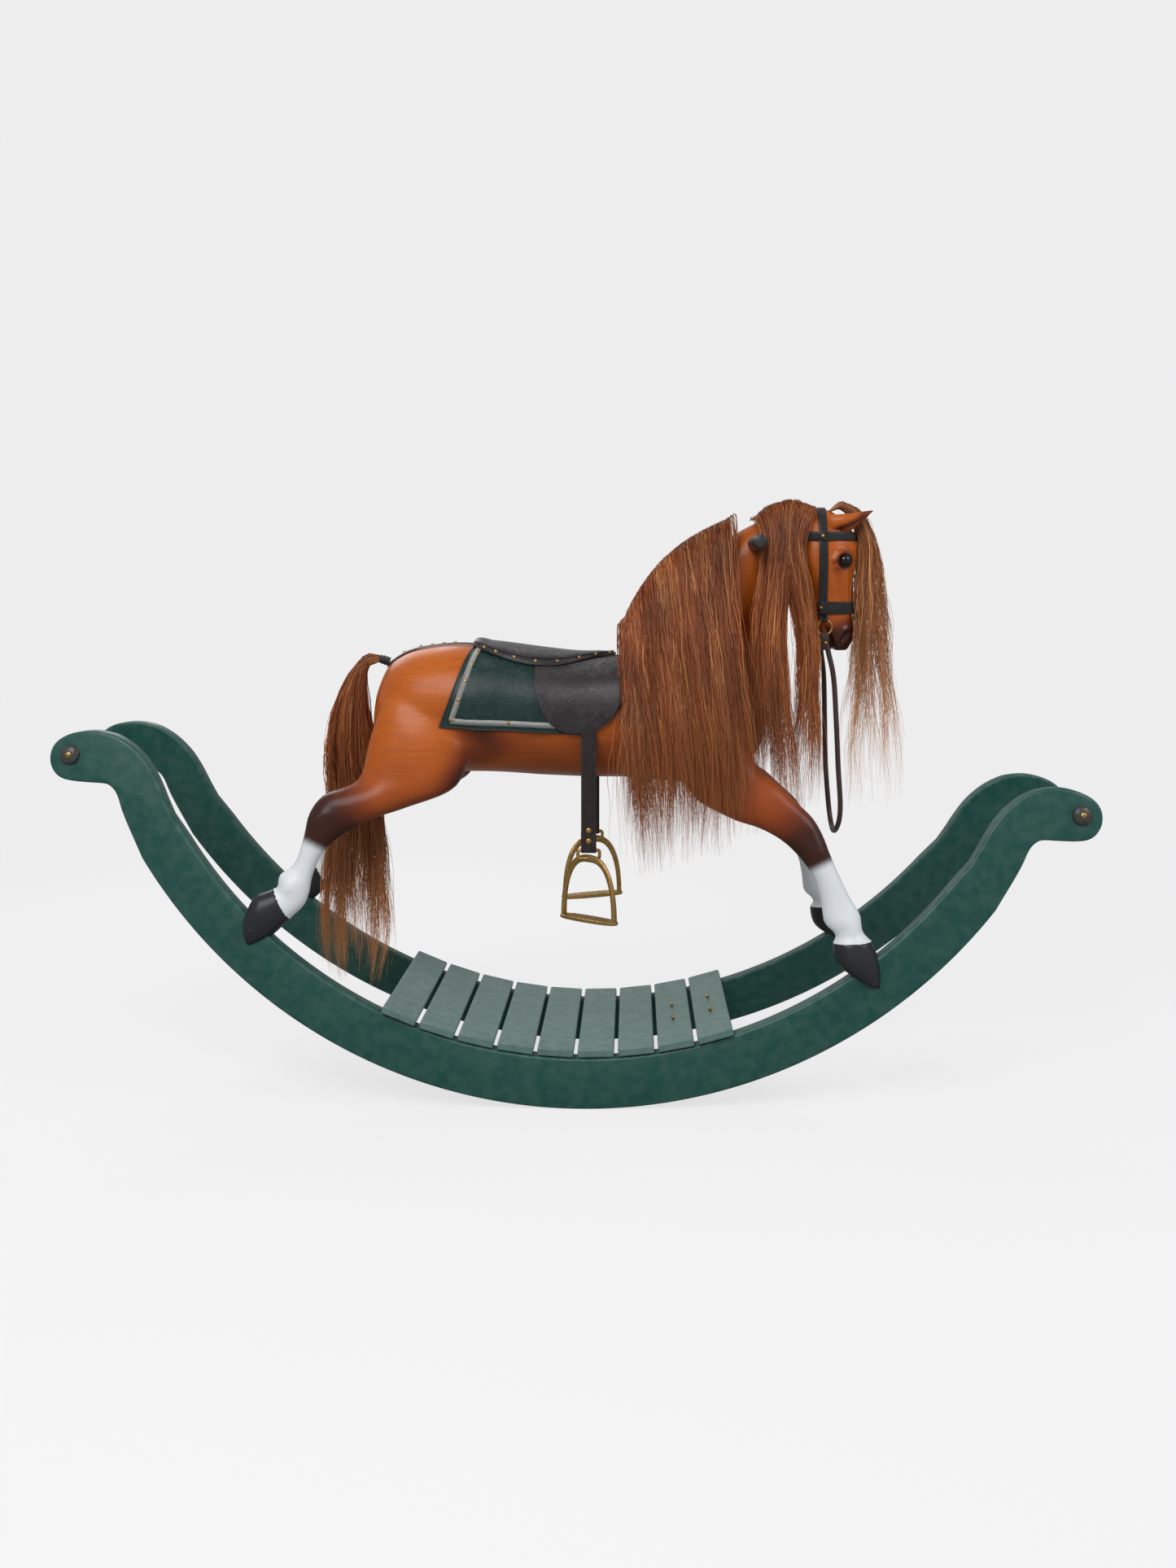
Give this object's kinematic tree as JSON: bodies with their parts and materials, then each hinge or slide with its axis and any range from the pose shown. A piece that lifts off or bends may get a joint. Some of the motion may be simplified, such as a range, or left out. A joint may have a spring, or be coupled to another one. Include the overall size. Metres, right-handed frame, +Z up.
{
  "type": "rocking horse",
  "caption": "Carved timber rocking horse on two leaning bow rockers joined by curved slats, with leather saddle, bridle, handle, hanging stirrups and real-hair mane and tail.",
  "frame": {"origin": "on the floor under the middle of the rockers", "axes": "+X towards the horse's head, +Y towards its left side, +Z up; the horse stands a little nose-down as it comes to rest"},
  "size_m": [1.7832, 0.4288, 1.0169],
  "materials": {
    "rocker_green": "dark green satin paint over timber",
    "slat_green": "green-grey satin paint over timber",
    "chestnut_paint": "airbrushed chestnut paint, satin varnish, over timber",
    "handle_black": "black satin paint over timber",
    "glass_eye": "black-brown polished glass",
    "bolt_black": "hammered black",
    "brass": "polished, lightly tarnished",
    "green_leather": "dark green grained leather",
    "saddle_leather": "black-brown grained leather",
    "strap_leather": "stitched dark leather",
    "bridle_leather": "black pebbled leather",
    "rein_leather": "rolled burgundy-brown leather",
    "horsehair": "chestnut horsehair"
  },
  "bodies": {
    "horse": {"rocker_right": "rocker_green", "rocker_left": "rocker_green", "slat_1": "slat_green", "slat_2": "slat_green", "slat_3": "slat_green", "slat_4": "slat_green", "slat_5": "slat_green", "slat_6": "slat_green", "slat_7": "slat_green", "slat_8": "slat_green", "slat_9": "slat_green", "end_rail_front": "rocker_green", "end_bolt_front_right": "bolt_black", "leg_front_right": "chestnut_paint", "hoof_screw_front_right": "bolt_black", "end_bolt_front_left": "bolt_black", "leg_front_left": "chestnut_paint", "hoof_screw_front_left": "bolt_black", "end_rail_rear": "rocker_green", "end_bolt_rear_right": "bolt_black", "leg_rear_right": "chestnut_paint", "hoof_screw_rear_right": "bolt_black", "end_bolt_rear_left": "bolt_black", "leg_rear_left": "chestnut_paint", "hoof_screw_rear_left": "bolt_black", "neck": "chestnut_paint", "body_lower_block": "chestnut_paint", "body_middle_block": "chestnut_paint", "body_upper_block": "chestnut_paint", "head": "chestnut_paint", "eye_right": "glass_eye", "eye_left": "glass_eye", "handle": "handle_black", "saddle_cloth": "green_leather", "saddle_seat": "saddle_leather", "saddle_flap_right": "saddle_leather", "saddle_flap_left": "saddle_leather", "crupper_strap": "saddle_leather", "bridle_headpiece": "bridle_leather", "browband": "bridle_leather", "noseband": "bridle_leather", "forelock": "horsehair", "mane_rear": "horsehair", "mane_front": "horsehair", "platform_pin_1": "brass", "platform_pin_2": "brass", "platform_pin_3": "brass", "platform_pin_4": "brass"},
    "leather_top_right": {"stirrup_leather_top_right": "strap_leather"},
    "leather_right": {"stirrup_leather_right": "strap_leather"},
    "iron_right": {"stirrup_iron_right": "brass"},
    "leather_top_left": {"stirrup_leather_top_left": "strap_leather"},
    "leather_left": {"stirrup_leather_left": "strap_leather"},
    "iron_left": {"stirrup_iron_left": "brass"},
    "ring_right": {"bit_ring_right": "brass"},
    "ring_left": {"bit_ring_left": "brass"},
    "rein_cord": {"reins": "rein_leather"},
    "tail_sleeve": {"tail_wrap": "saddle_leather"},
    "tail_hair": {"tail": "horsehair"}
  },
  "joints": [
    {"name": "leather_swing_right", "type": "hinge", "parent": "horse", "child": "leather_top_right", "pos_m": [0.023, -0.1106, 0.645], "axis": [0, 1, 0], "range_deg": [-18, 18]},
    {"name": "leather_bend_right", "type": "hinge", "parent": "leather_top_right", "child": "leather_right", "pos_m": [0.023, -0.1106, 0.6172], "axis": [-1, 0, 0], "range_deg": [-2, 60]},
    {"name": "iron_swing_right", "type": "hinge", "parent": "leather_right", "child": "iron_right", "pos_m": [0.023, -0.1106, 0.4235], "axis": [1, 0, 0], "range_deg": [-30, 30]},
    {"name": "leather_swing_left", "type": "hinge", "parent": "horse", "child": "leather_top_left", "pos_m": [0.023, 0.1106, 0.645], "axis": [0, 1, 0], "range_deg": [-18, 18]},
    {"name": "leather_bend_left", "type": "hinge", "parent": "leather_top_left", "child": "leather_left", "pos_m": [0.023, 0.1106, 0.6172], "axis": [1, 0, 0], "range_deg": [-2, 60]},
    {"name": "iron_swing_left", "type": "hinge", "parent": "leather_left", "child": "iron_left", "pos_m": [0.023, 0.1106, 0.4235], "axis": [1, 0, 0], "range_deg": [-30, 30]},
    {"name": "bit_ring_turn_right", "type": "hinge", "parent": "horse", "child": "ring_right", "pos_m": [0.427, -0.0405, 0.802], "axis": [0, 1, 0], "continuous": true},
    {"name": "bit_ring_turn_left", "type": "hinge", "parent": "horse", "child": "ring_left", "pos_m": [0.427, 0.0405, 0.802], "axis": [0, 1, 0], "continuous": true},
    {"name": "reins_swing", "type": "hinge", "parent": "horse", "child": "rein_cord", "pos_m": [0.427, 0, 0.802], "axis": [0, 1, 0], "range_deg": [-12, 12]},
    {"name": "tail_lift", "type": "hinge", "parent": "horse", "child": "tail_sleeve", "pos_m": [-0.3345, 0, 0.741], "axis": [0, 1, 0], "range_deg": [0, 30]},
    {"name": "tail_sway", "type": "hinge", "parent": "tail_sleeve", "child": "tail_hair", "pos_m": [-0.351, 0, 0.7465], "axis": [1, 0, 0], "range_deg": [-6, 6]}
  ]
}
